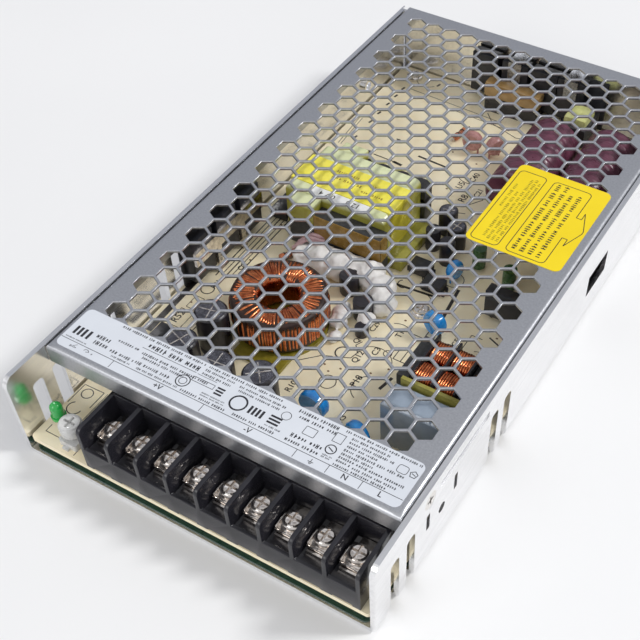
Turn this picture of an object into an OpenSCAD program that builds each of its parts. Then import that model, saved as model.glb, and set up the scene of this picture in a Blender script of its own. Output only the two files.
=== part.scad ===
// Enclosed switching power supply, slim 200 W class, with a hexagon mesh cover
// and a nine-way barrier terminal strip. Millimetres, Z up, terminals at -Y.
// The origin is at the bottom centre of the case.

/* [Case] */
// Width of the case across the terminal end
case_w = 115; // [100:0.5:130]
// Length from the terminal end to the rear
case_l = 215; // [180:0.5:240]
// Height from the mounting face to the top of the cover
case_h = 30; // [26:0.5:40]
// Thickness of the aluminium chassis sheet
sheet_t = 1.5; // [1:0.1:2]
// Thickness of the cover sheet
cover_t = 0.8; // [0.6:0.1:1.2]
// Spacing of the bottom mounting holes across the case
mount_x = 50; // [30:1:80]
// Spacing of the bottom and side mounting holes along the case
mount_y = 150; // [100:1:180]

/* [Mesh cover] */
// Spacing of the hexagonal holes along a row
hex_pitch = 7; // [5:0.1:10]
// Width of a hexagonal hole across its flats
hex_flat = 6; // [4:0.1:9]
// Holes in a row
hex_cols = 14; // [6:1:16]
// Rows of holes
hex_rows = 29; // [9:2:31]
// Distance of the first row from the terminal end
hex_start = 36; // [30:0.5:60]
// Distance of the cover's front lip from the terminal end
lip_back = 15.5; // [12:0.5:25]
// Height of the front lip's lower edge
lip_z = 23.6; // [20:0.1:27]

/* [Board] */
// Height of the board's underside over the mounting face
board_z = 4.9; // [3:0.1:8]
// Thickness of the board
board_t = 1.6; // [1:0.1:2]

/* [Terminals] */
// Ways in the terminal strip
bay_count = 9; // [2:1:10]
// Spacing of the ways
bay_pitch = 9.6; // [7.6:0.05:11]
// Middle of the strip, right of the case's centre line
strip_x = 9; // [-10:0.5:12]

/* [Controls] */
// Angle of the output trimmer
trim_angle = 0; // [-115:5:115]
// Travel of the selector slider from its front stop
slider_at = 0; // [0:0.1:4.6]

/* [Hidden] */
$fn = 32;
gap = 0.3;
hw = case_w / 2;
hl = case_l / 2;
inner_x = hw - sheet_t;
rear_y = hl - cover_t;
back_y = rear_y - sheet_t;
board_top = board_z + board_t;
board_front = -hl + 0.7;
board_rear = back_y - 0.6;
board_hx = inner_x - 0.6;
cover_hx = inner_x - gap;
flange_z = case_h - 8.5;
lip_y = -hl + lip_back;
bend_r = 1.3;

// Side and base holes
hole_z = 13.8;
side_y = [-hl + 33.5, -hl + 33.5 + mount_y];
slot_y = [-98, -90.2, -44.6, -36.9];
slot_w = 4.1;
slot_z = 21;
tap_r = 1.65;
screw_y = [-80.4, 90];
screw_z = 24.9;
post_at = [[15.5, -9.6], [-48, 99], [49.5, 99], [-45, -78], [49.8, -80]];

// Selector window in the right wall
window_y = [19, 33.5];
window_z = [10, 18];

// Terminal strip
bay_wall = 1.3;
strip_l = bay_count * bay_pitch + bay_wall;
strip_x0 = strip_x - strip_l / 2;
strip_front = -hl + 0.7;
strip_rear = -88.6;
sill_z = 14.5;
floor_z = 13.4;
barrier_z = 22.5;
screw_row_y = -98.4;
plate_t = 1.2;
clamp_t = 1.3;

// Trimmer and indicator beside the strip
trim_at = [-43.6, -101.4];
led_at = [-49, -99.8];

chassis();
cover();
cover_screws();
insulation_sheet();
rating_label();
selector_label();
circuit_board();
board_screws();
terminal_housing();
terminal_plates();
terminal_clamps();
terminal_screws();
status_led();
trimmer_body();
trimmer_rotor();
selector_body();
selector_slider();
transformer_core();
transformer_bobbin();
transformer_tape();
output_choke_core();
output_choke_winding();
output_choke_base();
filter_choke_core();
filter_choke_winding();
filter_divider();
x_capacitor();
y_capacitors();
output_capacitors();
bulk_capacitors();
small_capacitors();
output_rectifiers();
rectifier_clamp();
power_switches();
switch_clips();
thermal_pads();
driver_core();
driver_winding();
film_capacitor();
optocouplers();
thermistors();
green_resistors();
bridge_rectifier();
fuse();
adhesive();

// ---------- shared shapes ----------

// A profile in X and Z, run along Y from y0 to y1
module along_y(y0, y1) {
    translate([0, y1, 0]) rotate([90, 0, 0]) linear_extrude(y1 - y0) children();
}

// A profile in Y and Z, run along X from x0 to x1
module along_x(x0, x1) {
    translate([x0, 0, 0]) rotate([90, 0, 90]) linear_extrude(x1 - x0) children();
}

// Rectangle between two corners with round corners
module round_rect(a, b, r) {
    translate([a[0] + r, a[1]]) square([b[0] - a[0] - 2 * r, b[1] - a[1]]);
    translate([a[0], a[1] + r]) square([b[0] - a[0], b[1] - a[1] - 2 * r]);
    for (x = [a[0] + r, b[0] - r], y = [a[1] + r, b[1] - r])
        translate([x, y]) circle(r);
}

// Box between two corners
module box(a, b) {
    translate(a) cube(b - a);
}

// Upright round body from z0 to z1
module post(at, r, z0, z1) {
    translate([at[0], at[1], z0]) cylinder(h = z1 - z0, r = r);
}

// Pair of straight leads under a component
module leads(at, dx, dy, z1) {
    for (s = [-1, 1]) post([at[0] + s * dx, at[1] + s * dy], 0.3, board_top, z1 + 0.2);
}

// ---------- sheet metal ----------

// Solid that fills the folded tray, inset by d: round bends at the sides and the rear
module tray_block(d) {
    intersection() {
        along_y(-hl - 20 * d, rear_y - d) round_rect([-hw + d, d], [hw - d, case_h + 5], 2.1 - d);
        along_x(-hw - 1, hw + 1) round_rect([-hl - 50, d], [rear_y - d, case_h + 5], 2.1 - d);
    }
}

// Tall louvre slot with round top corners, in Y and Z
module slot_shape(y) {
    round_rect([y - slot_w / 2, -3], [y + slot_w / 2, slot_z], 1.4);
}

// Two arms of the U are cut back round at the front
module front_corner_cut() {
    r = 3.4;
    translate([-hl - 1, case_h - r])
        difference() {
            square([r + 1, r + 1]);
            translate([r + 1, 0]) circle(r);
        }
}

module chassis() color("silver")
difference() {
    union() {
        difference() {
            tray_block(0);
            tray_block(sheet_t);
            box([-hw - 1, -hl - 1, case_h - 0.2], [hw + 1, hl, case_h + 9]);
            // the rear wall stands clear of the sides and stops under the cover
            box([-inner_x - 1, back_y - 0.5, case_h - 1.4], [inner_x + 1, hl, case_h + 9]);
            for (s = [-1, 1])
                translate([s * (inner_x - 0.3), rear_y, case_h / 2 + 2.6]) cube([0.6, 5, case_h], center = true);
        }
        // drawn collars that the side and base screws thread into
        for (s = [-1, 1], y = side_y)
            translate([s * (inner_x - 0.6), y, hole_z]) rotate([0, 90, 0])
                cylinder(h = 1.4, r = 2.7, center = true);
        for (x = [-1, 1], y = [-1, 1])
            post([x * mount_x / 2, y * mount_y / 2], 3, sheet_t - 0.1, sheet_t + 1.7);
        for (p = post_at) post(p, 2.6, sheet_t - 0.1, board_z);
    }
    along_x(-hw - 1, hw + 1) front_corner_cut();
    for (y = slot_y) {
        along_x(hw - 4, hw + 1) slot_shape(y);
        along_x(-hw - 1, -hw + 4) slot_shape(y);
    }
    for (s = [-1, 1], y = side_y)
        translate([s * inner_x, y, hole_z]) rotate([0, 90, 0])
            cylinder(h = 6, r = tap_r, center = true);
    for (x = [-1, 1], y = [-1, 1])
        post([x * mount_x / 2, y * mount_y / 2], tap_r, -1, sheet_t + 3);
    for (p = post_at) post(p, 1.25, -1, board_z + 1);
    // narrow catches each side of the front side hole
    for (y = [side_y[0] - 7.4, side_y[0] + 7.4])
        box([-hw - 1, y - 0.85, hole_z - 0.3], [hw + 1, y + 0.85, hole_z + 5.9]);
    // shallow pressed grooves under the top edge
    for (s = [-1, 1])
        translate([s * hw, (-75.3 - 48.6) / 2, 24.9]) cube([1, 26.7, 2.2], center = true);
    // countersunk holes of the cover screws
    for (s = [-1, 1], y = screw_y)
        translate([s * hw, y, screw_z]) rotate([0, -90 * s, 0]) screw_seat();
    // window in front of the voltage selector
    box([inner_x - 1, window_y[0], window_z[0]], [hw + 1, window_y[1], window_z[1]]);
}

// Countersink and clearance, cut along +Z from the wall's outer face
module screw_seat() {
    translate([0, 0, -0.5]) cylinder(h = 1.5, r1 = 3.55, r2 = 1.75);
    cylinder(h = 4, r = 1.75);
}

// Outline of the cover's top and sides in X and Z, inset by d
module cover_across(d) {
    round_rect([-cover_hx + d, -20], [cover_hx - d, case_h - d], bend_r - d);
}

// Outline of the cover's top, lip and rear flange in Y and Z, inset by d
module cover_along(d) {
    round_rect([lip_y - cover_t + d, -20], [hl - d, case_h - d], bend_r - d);
}

// Solid that fills the folded cover, inset by d
module cover_block(d) {
    intersection() {
        along_y(-hl - 5, hl + 5) cover_across(d);
        along_x(-hw - 5, hw + 5) cover_along(d);
    }
}

// Flat top panel of the cover, cut by offset rows of hexagons
module mesh_panel(a, b) {
    first_y = -hl + hex_start;
    row = hex_pitch * sqrt(3) / 2;
    difference() {
        translate(a) square(b - a);
        for (i = [0 : hex_rows - 1], k = [0 : hex_cols - 1])
            translate([(k - (hex_cols - 0.5) / 2 + (i % 2) / 2) * hex_pitch, first_y + i * row])
                rotate(90) circle(r = hex_flat / sqrt(3), $fn = 6);
    }
}

module cover() color("lightsteelblue") {
    a = [-cover_hx + 3, lip_y + 3];
    b = [cover_hx - 3, hl - 3];
    difference() {
        cover_block(0);
        cover_block(cover_t);
        // sides stop under the top edge of the walls, the rear flange reaches the base
        box([-hw, -hl, -21], [hw, rear_y, flange_z]);
        box([-hw, back_y - 1, -21], [hw, rear_y, case_h - bend_r]);
        box([-hw, -hl, -21], [hw, lip_y + 1.5, lip_z]);
        box([-hw, -hl, -21], [hw, hl + 1, sheet_t + 0.6]);
        // relief cuts at the ends of the lip
        for (s = [-1, 1])
            translate([s * cover_hx, lip_y + 0.4, case_h - 6.7]) cube([2.2, 1.6, 10], center = true);
        // space for the mesh panel
        box([a[0], a[1], case_h - 2], [b[0], b[1], case_h + 1]);
        for (s = [-1, 1], y = screw_y)
            translate([s * cover_hx, y, screw_z]) rotate([0, 90, 0])
                cylinder(h = 4, r = 1.25, center = true);
    }
    translate([0, 0, case_h - cover_t]) linear_extrude(cover_t) mesh_panel(a, b);
}

module cover_screws() color("gainsboro")
for (s = [-1, 1], y = screw_y)
    translate([s * (hw - 0.1), y, screw_z]) rotate([0, -90 * s, 0]) difference() {
        union() {
            cylinder(h = 0.9, r1 = 2.83, r2 = 1.75);
            cylinder(h = 4.4, r = 1.25);
        }
        // cross recess
        for (t = [0, 90]) rotate(t) translate([-1.4, -0.3, -1]) cube([2.8, 0.6, 1.7]);
    }

module insulation_sheet() color("darkslategray")
translate([0, 0, sheet_t]) linear_extrude(0.4) difference() {
    round_rect([-inner_x + 1, board_front], [inner_x - 1, back_y - 1], 2);
    for (x = [-1, 1], y = [-1, 1])
        translate([x * mount_x / 2, y * mount_y / 2]) circle(3.3);
    for (p = post_at) translate(p) circle(2.9);
    for (s = [-1, 1], y = slot_y) translate([s * hw, y]) square([10, slot_w + 0.6], center = true);
}

// ---------- labels ----------

module rating_label() color("whitesmoke")
translate([0, 0, case_h]) linear_extrude(0.12)
    round_rect([-54.2, -88.6], [53.2, -75], 1.8);

module selector_label() color("gold")
translate([0, 0, case_h]) linear_extrude(0.12)
    round_rect([21.8, 3.8], [52.4, 44], 2);

// ---------- board ----------

module circuit_board() color("wheat")
translate([0, 0, board_z]) linear_extrude(board_t) difference() {
    round_rect([-board_hx, board_front], [board_hx, board_rear], 1.2);
    for (p = post_at) translate(p) circle(1.75);
}

// Pan head screws that hold the board on its posts
module board_screws() color("silver")
for (p = post_at) difference() {
    union() {
        translate([p[0], p[1], board_top]) rotate_extrude() difference() {
            square([3, 1.9]);
            translate([3, 1.9]) circle(0.9);
        }
        post(p, 1.25, board_z - 3, board_top + 0.5);
    }
    for (t = [0, 90])
        translate([p[0], p[1], board_top + 1.7]) rotate(t) cube([3.4, 0.7, 1.6], center = true);
}

// ---------- terminal strip ----------

// Side view of a barrier between two ways, in Y and Z
module barrier_shape() {
    difference() {
        translate([strip_front, board_top]) square([strip_rear - strip_front, barrier_z - board_top]);
        translate([strip_front, barrier_z - 2]) difference() {
            translate([-1, 0]) square([3, 3]);
            translate([2, 0]) circle(2);
        }
    }
}

function bay_x(k) = strip_x0 + bay_wall / 2 + (k + 0.5) * bay_pitch;

module terminal_housing() color("dimgray")
difference() {
    along_x(strip_x0, strip_x0 + strip_l) barrier_shape();
    for (k = [0 : bay_count - 1]) {
        x = bay_x(k);
        w = bay_pitch / 2 - bay_wall / 2;
        // bay, deeper behind the front sill, with a well under the screw
        box([x - w, strip_front - 1, sill_z], [x + w, strip_rear - 3.4, barrier_z + 1]);
        box([x - w, strip_front + 1.2, floor_z], [x + w, strip_rear - 3.4, sill_z + 1]);
        post([x, screw_row_y], 1.9, board_top + 2, floor_z + 1);
        // mouse holes under the front sill
        box([x - 3, strip_front - 1, board_top - 1], [x + 3, strip_front + 1, board_top + 0.6]);
    }
}

// Contact plate in each way, drilled for its screw
module terminal_plates() color("silver")
for (k = [0 : bay_count - 1]) difference() {
    union() {
        box([bay_x(k) - 3.1, screw_row_y - 4.6, floor_z], [bay_x(k) + 3.1, screw_row_y + 4, floor_z + plate_t]);
        box([bay_x(k) - 2.4, screw_row_y + 3.9, floor_z], [bay_x(k) + 2.4, screw_row_y + 6.2, floor_z + plate_t]);
    }
    post([bay_x(k), screw_row_y], 1.6, floor_z - 1, floor_z + 3);
}

// Square wire clamp under each screw head, its front edge turned up
module terminal_clamps() color("gainsboro")
translate([0, 0, floor_z + plate_t])
for (k = [0 : bay_count - 1]) difference() {
    union() {
        box([bay_x(k) - 2.6, screw_row_y - 3.2, 0], [bay_x(k) + 2.6, screw_row_y + 3, 0.5]);
        box([bay_x(k) - 3.3, screw_row_y - 3.9, 0.4], [bay_x(k) + 3.3, screw_row_y + 3.2, clamp_t]);
    }
    post([bay_x(k), screw_row_y], 1.9, -1, 3);
    box([bay_x(k) - 4, screw_row_y - 3.5, clamp_t - 0.3], [bay_x(k) + 4, screw_row_y - 3.2, clamp_t + 1]);
}

// Cross and slot recess pan head screw
module terminal_screws() color("silver")
for (k = [0 : bay_count - 1]) translate([bay_x(k), screw_row_y, 0]) difference() {
    z = floor_z + plate_t + clamp_t;
    union() {
        translate([0, 0, z]) rotate_extrude() difference() {
            square([2.9, 2.1]);
            translate([2.9, 2.1]) circle(0.8);
        }
        cylinder(h = 1.6, r = 1.6);
        translate([0, 0, board_top + 2.4]) cylinder(h = z - board_top - 2, r = 1.6);
    }
    translate([0, 0, -1]) cylinder(h = 3, r = 3);
    for (t = [0, 90]) translate([0, 0, z + 2]) rotate(t) cube([4.2, 0.75, 2], center = true);
}

// ---------- indicator, trimmer and selector ----------

// Round lamp held over the board on a spacer
module status_led() color("limegreen")
translate([led_at[0], led_at[1], 0]) {
    translate([0, 0, board_top]) cylinder(h = 5, r = 1.6);
    translate([0, 0, board_top + 4.9]) cylinder(h = 0.9, r = 2.6);
    translate([0, 0, board_top + 5]) cylinder(h = 3, r = 2.35);
    intersection() {
        translate([0, 0, board_top + 8]) sphere(2.35);
        translate([0, 0, board_top + 8]) cylinder(h = 5, r = 4);
    }
}

module trimmer_body() color("lightgray")
translate([trim_at[0], trim_at[1], board_top]) difference() {
    union() {
        linear_extrude(2.3) round_rect([-3, -3.4], [3.2, 3.4], 0.8);
        translate([-1, -4.4, 0]) cube([2, 1.2, 0.8]);
    }
    translate([0, 0, 0.7]) cylinder(h = 5, r = 1.05);
}

module trimmer_rotor() color("white")
translate([trim_at[0], trim_at[1], board_top]) rotate(trim_angle) difference() {
    union() {
        translate([0, 0, 1]) cylinder(h = 3, r = 1);
        translate([0, 0, 2.6]) rotate_extrude() difference() {
            square([3.1, 1.9]);
            translate([3.1, 1.9]) circle(0.4);
        }
    }
    for (t = [0, 90]) rotate(t) translate([0, 0, 4.5]) cube([3.6, 0.7, 1.4], center = true);
}

slide_x = [inner_x - 6.6, inner_x - 0.6];

module selector_body() color("dimgray")
difference() {
    box([slide_x[0] - 2.6, window_y[0] - 2.6, board_top], [slide_x[1], window_y[1] + 2.6, window_z[1] + 2.6]);
    // wide track behind, narrow mouth in front
    box([slide_x[0], window_y[0] - 0.6, window_z[0] - 0.9],
        [slide_x[1] - 3, window_y[1] + 0.6, window_z[1] + 0.9]);
    box([slide_x[0] + 1, window_y[0], window_z[0]], [slide_x[1] + 1, window_y[1], window_z[1]]);
}

module selector_slider() color("firebrick")
translate([0, slider_at, 0]) {
    y = window_y[0] + 0.1;
    difference() {
        box([slide_x[0] + 2, y, window_z[0] + 0.1], [slide_x[1] - 0.6, y + 9, window_z[1] - 0.1]);
        // groove for a screwdriver tip
        box([slide_x[1] - 1.6, y + 3.8, window_z[0]], [slide_x[1], y + 5.2, window_z[1]]);
    }
    box([slide_x[0] + 0.1, y, window_z[0] - 0.8], [slide_x[1] - 3.1, y + 9, window_z[1] + 0.8]);
}

// ---------- magnetics ----------

tr_x = [-41, -3];
tr_y = [2, 25.5];

// Ferrite yokes at the front and rear, joined by the middle leg through the bobbin
module transformer_core() color("darkslategray") {
    for (y = [tr_y[0] - 5, tr_y[1]])
        box([tr_x[0] + 4, y, board_top + 1.2], [tr_x[1], y + 5, 21.5]);
    tr_leg(0);
}

module tr_leg(over) {
    box([-29, tr_y[0] - over, board_top + 6], [-15, tr_y[1] + over, board_top + 12.5]);
}

module transformer_bobbin() color("beige")
difference() {
    union() {
        along_y(tr_y[0], tr_y[1]) round_rect([tr_x[0], board_top + 1.6], [tr_x[1] - 1.5, 25.6], 2.2);
        // rail that the pins are moulded in
        box([tr_x[1] - 3, tr_y[0] + 1, board_top], [tr_x[1] + 1.6, tr_y[1] - 1, board_top + 4]);
    }
    tr_leg(1);
}

module transformer_tape() color("yellow")
box([tr_x[0] + 3, tr_y[0] + 6.5, 25.6], [tr_x[1] - 4, tr_y[1] - 6.5, 25.9]);

choke_at = [-19, -35];

module output_choke_core() color("black")
translate([choke_at[0], choke_at[1], board_top + 3.2]) rotate_extrude() translate([7.6, 0]) square([5.8, 9.2]);

// Copper turns close round the ring
module output_choke_winding() color("chocolate")
translate([choke_at[0], choke_at[1], board_top + 1.4]) rotate_extrude() difference() {
    translate([5.8, 0]) round_rect([0, 0], [9.4, 12.8], 2);
    translate([7.6, 1.8]) square([5.8, 9.2]);
}

module output_choke_base() color("peru")
translate([0, 0, board_top]) linear_extrude(1.4) {
    translate(choke_at) circle(14.6);
    round_rect([-24.5, -53], [-8, -30], 1);
}

fc_x = [27.5, 50];
fc_y = [-46.5, -28.5];

module filter_choke_core() color("black")
translate([(fc_x[0] + fc_x[1]) / 2, (fc_y[0] + fc_y[1]) / 2, 0]) difference() {
    w = (fc_x[1] - fc_x[0]) / 2;
    d = (fc_y[1] - fc_y[0]) / 2;
    along_y(-d, d) polygon([[-w, board_top], [w, board_top], [w, 21], [w - 3, 23.6], [3 - w, 23.6], [-w, 21]]);
    along_y(-d - 1, d + 1) translate([-w + 5, board_top + 5]) square([2 * w - 10, 7]);
}

module filter_choke_winding() color("chocolate")
for (s = [-1, 1])
    translate([(fc_x[0] + fc_x[1]) / 2, (fc_y[0] + fc_y[1]) / 2 + s * 4.6, board_top + 5])
        difference() {
            translate([-6.1, -3.6, 0]) cube([12.2, 7.2, 7]);
            translate([-4, -2, -1]) cube([8, 4, 9]);
        }

module filter_divider() color("olive")
box([31, -49.4, board_top], [48.6, -48.2, 24.6]);

// ---------- capacitors ----------

module x_capacitor() color("slategray")
difference() {
    box([30, -58.8, board_top], [48.6, -50.2, 24]);
    // moulded bevels round the top
    for (y = [-58.8, -50.2])
        translate([39.3, y, 24]) rotate([45, 0, 0]) cube([30, 1.6, 1.6], center = true);
    for (x = [30, 48.6])
        translate([x, -54.5, 24]) rotate([0, 45, 0]) cube([1.6, 30, 1.6], center = true);
}

// Lens shaped disc on two leads, standing along X turned by t
module disc_part(at, r, z, t) {
    translate([at[0], at[1], z]) rotate([90, 0, t]) intersection() {
        cylinder(h = 3.4, r = r, center = true);
        scale([1, 1, 0.75]) sphere(r + 0.15);
    }
    translate([at[0], at[1], 0]) rotate(t)
        for (s = [-1, 1]) post([s * r * 0.6, 0], 0.35, board_top, z - r * 0.5);
}

module y_capacitors() color("dodgerblue") {
    disc_part([23.5, -15.5], 4, board_top + 5.2, -20);
    disc_part([9.5, -60.5], 4.6, board_top + 5.8, -5);
    disc_part([25.5, -63.5], 4.2, board_top + 5.4, -20);
    disc_part([17.4, 8.6], 3.2, board_top + 4.4, 80);
}

// Upright electrolytic can with a rolled groove above its foot
module can(at, r, z1) {
    translate([at[0], at[1], board_top]) rotate_extrude() difference() {
        square([r, z1 - board_top]);
        translate([r + 0.25, 1.8]) circle(0.6);
        translate([r, z1 - board_top]) rotate(45) square(0.8, center = true);
    }
}

module output_capacitors() color("dimgray")
for (p = [[-30.8, -52.4], [-5, -65], [-31.5, -66], [-17.5, -68]]) can(p, 5, 21.6);

// Two large cans lying along the case
module bulk_capacitors() color("brown")
for (p = [[19.5, 42.5, 35], [39.2, 46.8, 35]])
    translate([p[0], p[1], board_top + 9.5]) rotate([-90, 0, 0]) rotate_extrude() difference() {
        square([9.5, p[2]]);
        translate([9.9, 4]) circle(0.8);
        translate([9.5, 0]) rotate(45) square(1.2, center = true);
        translate([9.5, p[2]]) rotate(45) square(1.2, center = true);
    }

module small_capacitors() color("black") {
    can([4.6, 28], 3.15, board_top + 9);
    can([10.6, 22.4], 3.15, board_top + 9);
    can([11.4, 14.6], 2.5, board_top + 9);
    can([4.2, 18.5], 2.5, board_top + 8);
    can([2.6, -24.5], 3.15, board_top + 7);
    can([-6, -12.2], 3.15, board_top + 6);
}

module film_capacitor() color("tan")
difference() {
    box([-15.5, 87.5, board_top], [4.5, 94.5, board_top + 10]);
    for (y = [87.5, 94.5])
        translate([-5.5, y, board_top + 10]) rotate([45, 0, 0]) cube([30, 1, 1], center = true);
}

// ---------- power devices ----------

// Flat plastic power package with three leads, its back at x = 0, facing +X
module power_package() {
    box([0, -5.1, board_top + 3], [4.5, 5.1, board_top + 18.5]);
    for (y = [-2.54, 0, 2.54]) box([1.7, y - 0.35, board_top], [2.2, y + 0.35, board_top + 3.1]);
}

rect_y = [-31, -18.5, -6];

module output_rectifiers() color("darkslategray")
for (y = rect_y) translate([-inner_x + 2, y, 0]) power_package();

// Steel bar pressed on the rectifiers, with a foot on the board
module rectifier_clamp() color("silver") {
    box([-inner_x + 6.5, rect_y[0] - 5, board_top + 10], [-inner_x + 7.5, rect_y[2] + 5, board_top + 15]);
    for (y = [-24.75, -12.25])
        box([-inner_x + 6.5, y - 1.1, board_top], [-inner_x + 7.5, y + 1.1, board_top + 10.1]);
}

switch_x = [-19.5, -7.5, 4, 14.5];
switch_y = back_y - 0.8;

module power_switches() color("darkslategray")
for (x = switch_x) translate([x, switch_y, 0]) rotate(-90) power_package();

// Bent spring strip over the top of a power device
module switch_clips() color("silver")
for (x = [switch_x[1], switch_x[3]])
    along_x(x - 2.5, x + 2.5) difference() {
        translate([switch_y - 5.1, board_top + 12]) square([5.9, 7.1]);
        translate([switch_y - 4.5, board_top + 11]) square([9, 7.5]);
    }

// Grey pads between the power devices and the case
module thermal_pads() color("gray") {
    box([-inner_x + 1.2, rect_y[0] - 6, board_top], [-inner_x + 2, rect_y[2] + 6, board_top + 15]);
    box([switch_x[0] - 6, switch_y, board_top], [switch_x[3] + 6, switch_y + 0.8, board_top + 17]);
}

module bridge_rectifier() color("black") {
    box([33, -2, board_top + 2], [50, 2, board_top + 12]);
    for (x = [35, 39, 43.5, 48]) box([x - 0.5, -0.5, board_top], [x + 0.5, 0.5, board_top + 2.1]);
}

drv_x = [18, 31];
drv_y = [84.5, 97.5];

module driver_core() color("black")
difference() {
    box([drv_x[0] + 1, drv_y[0], board_top + 4], [drv_x[1] - 1, drv_y[1], board_top + 11]);
    box([drv_x[0] + 4, drv_y[0] + 2, board_top], [drv_x[1] - 4, drv_y[1] - 2, 30]);
}

module driver_winding() color("khaki") {
    box([drv_x[0] + 4, drv_y[0] + 2, board_top + 1], [drv_x[1] - 4, drv_y[1] - 2, board_top + 13.5]);
    box([drv_x[0], drv_y[0] + 1, board_top], [drv_x[1], drv_y[1] - 1, board_top + 2.5]);
}

module optocouplers() color("black")
for (p = [[6.7, 6.4], [14, 1.4]]) translate([p[0], p[1], board_top]) {
    translate([-3.4, -2.4, 0.5]) cube([6.8, 4.8, 3.4]);
    for (x = [-3.9, 3.9], y = [-1.27, 1.27]) translate([x, y, 1]) cube([1, 0.6, 2], center = true);
}

module thermistors() color("rosybrown") {
    disc_part([-8, 69.5], 3.6, board_top + 4.8, 10);
    disc_part([0, 71], 3.4, board_top + 4.6, 60);
}

module green_resistors() color("darkgreen")
for (p = [[21.5, 17.5], [34, 13.5]]) {
    post(p, 2.2, board_top + 1, board_top + 8.5);
    leads(p, 1.2, 0, board_top + 1);
}

module fuse() color("white")
translate([42, -74, board_top + 1.9]) rotate([-90, 0, 0]) {
    difference() {
        cylinder(h = 10, r = 1.9, center = true);
        for (z = [-3.4, 3.4]) translate([0, 0, z]) rotate_extrude() translate([2.1, 0]) circle(0.3);
    }
    for (z = [-6, 6]) translate([0, 0, z]) cylinder(h = 2.2, r = 0.35, center = true);
}

// Silicone that steadies the tall parts
module adhesive() color("white") {
    for (p = [[-20, -11.6, 3.4], [-13, -8.6, 3.6], [1.2, -9.5, 3.6], [2.6, -15.8, 3]])
        translate([p[0], p[1], board_top]) intersection() {
            sphere(p[2]);
            cylinder(h = 9, r = 9);
        }
}
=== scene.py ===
import math
import random
from collections import Counter

import bpy
from mathutils import Matrix, Vector


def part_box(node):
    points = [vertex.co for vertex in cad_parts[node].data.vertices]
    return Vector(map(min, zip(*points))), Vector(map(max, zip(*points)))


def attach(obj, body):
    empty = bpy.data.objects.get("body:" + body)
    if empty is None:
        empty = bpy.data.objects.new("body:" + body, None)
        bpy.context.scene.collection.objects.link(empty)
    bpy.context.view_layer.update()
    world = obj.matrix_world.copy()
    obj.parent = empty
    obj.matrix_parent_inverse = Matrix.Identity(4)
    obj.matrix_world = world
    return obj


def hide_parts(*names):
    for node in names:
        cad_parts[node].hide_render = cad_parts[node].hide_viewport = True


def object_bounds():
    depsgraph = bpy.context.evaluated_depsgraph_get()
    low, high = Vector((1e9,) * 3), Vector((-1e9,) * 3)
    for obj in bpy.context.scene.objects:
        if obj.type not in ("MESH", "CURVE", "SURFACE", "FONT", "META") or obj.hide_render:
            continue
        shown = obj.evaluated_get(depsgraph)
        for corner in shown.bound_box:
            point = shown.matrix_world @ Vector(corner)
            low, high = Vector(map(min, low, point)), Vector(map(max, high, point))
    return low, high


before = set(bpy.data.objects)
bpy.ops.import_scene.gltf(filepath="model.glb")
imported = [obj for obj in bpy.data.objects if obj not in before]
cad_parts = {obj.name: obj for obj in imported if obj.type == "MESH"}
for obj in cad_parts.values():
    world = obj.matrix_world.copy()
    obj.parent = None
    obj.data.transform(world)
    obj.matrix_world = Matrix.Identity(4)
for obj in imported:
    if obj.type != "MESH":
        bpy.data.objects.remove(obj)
cad_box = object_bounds()

# ---------- table, light and camera
# The supply lies on a white table. A broad soft panel lights it from the right and behind,
# and a pale room with a greyer side at the back left fills the rest.
mm = 0.001


def deselect():
    bpy.ops.object.select_all(action="DESELECT")


def started(add, **sizes):
    """A new primitive, with nothing else selected."""
    deselect()
    add(**sizes)
    return bpy.context.object


def tune(node, *values):
    """Sets a node's inputs, from pairs of a name and a value."""
    for name, value in values:
        node.inputs[name].default_value = value
    return node


def add_node(tree, kind, *values):
    return tune(tree.nodes.new("ShaderNode" + kind), *values)


def link_up(tree, *rows):
    """Links nodes, from rows of a node, its output, the next node and its input."""
    for source, output, target, socket in rows:
        tree.links.new(source.outputs[output], target.inputs[socket])


def mottle_group():
    """Noise of a given grain size, put out as a colour, a roughness and a height."""
    group = bpy.data.node_groups.new("mottle", "ShaderNodeTree")
    for names, way, kind in (
        (("Vector",), "INPUT", "NodeSocketVector"),
        (("Grain", "Smoothest", "Roughest"), "INPUT", "NodeSocketFloat"),
        (("Dark", "Light"), "INPUT", "NodeSocketColor"),
        (("Color",), "OUTPUT", "NodeSocketColor"),
        (("Roughness", "Height"), "OUTPUT", "NodeSocketFloat"),
    ):
        for name in names:
            group.interface.new_socket(name, in_out=way, socket_type=kind)
    given = group.nodes.new("NodeGroupInput")
    result = group.nodes.new("NodeGroupOutput")
    scale = add_node(group, "Math", (0, 1.0))
    scale.operation = "DIVIDE"
    noise = add_node(group, "TexNoise", ("Detail", 4.0))
    spread = add_node(group, "MapRange", ("From Min", 0.32), ("From Max", 0.68))
    mix = add_node(group, "Mix")
    mix.data_type = "RGBA"
    rough = add_node(group, "MapRange")
    link_up(
        group,
        (given, "Grain", scale, 1),
        (given, "Vector", noise, "Vector"),
        (scale, 0, noise, "Scale"),
        (noise, "Fac", spread, "Value"),
        (spread, "Result", mix, "Factor"),
        (given, "Dark", mix, "A"),
        (given, "Light", mix, "B"),
        (spread, "Result", rough, "Value"),
        (given, "Smoothest", rough, "To Min"),
        (given, "Roughest", rough, "To Max"),
        (mix, "Result", result, "Color"),
        (rough, "Result", result, "Roughness"),
        (spread, "Result", result, "Height"),
    )
    return group


mottle = mottle_group()


def mottled(tree, dark, light, grain, rough):
    """The mottle in a material, with its two colours, grain size and gloss."""
    look = add_node(tree, "Group")
    look.node_tree = mottle
    return tune(
        look, ("Grain", grain), ("Smoothest", rough[0]), ("Roughest", rough[1]),
        ("Dark", (*dark, 1)), ("Light", (*light, 1)),
    )


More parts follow.
